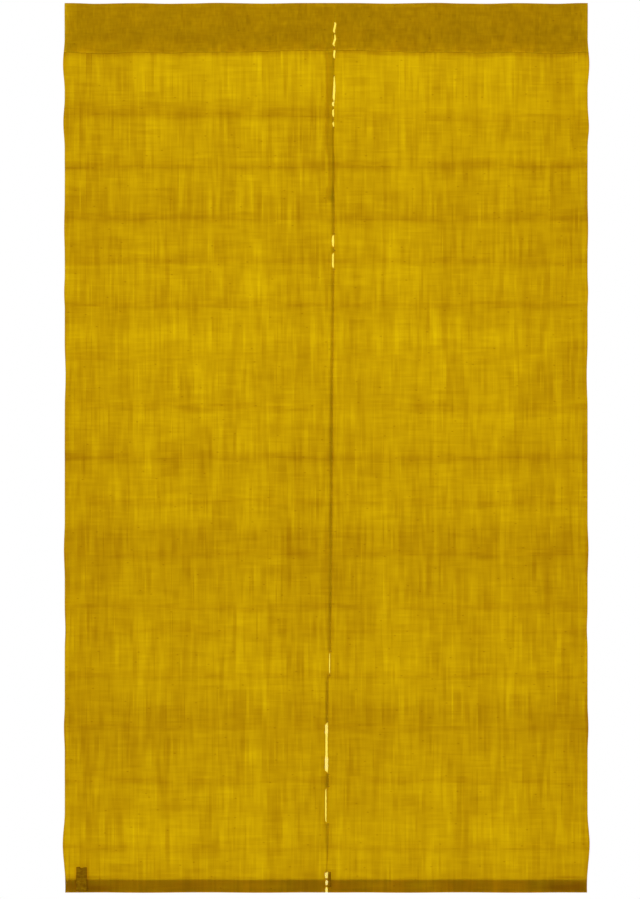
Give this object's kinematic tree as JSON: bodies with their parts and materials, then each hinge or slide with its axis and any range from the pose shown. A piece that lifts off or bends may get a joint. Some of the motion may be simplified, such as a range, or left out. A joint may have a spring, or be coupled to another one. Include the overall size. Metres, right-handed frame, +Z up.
{
  "type": "noren curtain",
  "caption": "Tall doorway curtain of sheer hand-woven cloth in side-by-side panels, with a rod pocket on top, a slit between the panels and a turned hem.",
  "frame": {"origin": "middle of the top edge, over the rod pocket", "axes": "+Z up, the curtain hanging down from the origin; -Y towards the viewer; +X to the viewer's right, along the rod"},
  "size_m": [0.8894, 0.016, 1.5],
  "materials": {
    "sheer_cloth": "matt plain weave of hand-spun bast fibre, sheer, mustard yellow, with slubs",
    "heading_cloth": "the same cloth in two layers, so darker and less sheer",
    "label_tape": "matt dark folded tape, plain"
  },
  "bodies": {
    "root": {"panel_left": "sheer_cloth", "panel_right": "sheer_cloth", "heading_left": "heading_cloth", "heading_right": "heading_cloth", "side_label": "label_tape", "corner_tab": "label_tape"}
  },
  "joints": []
}
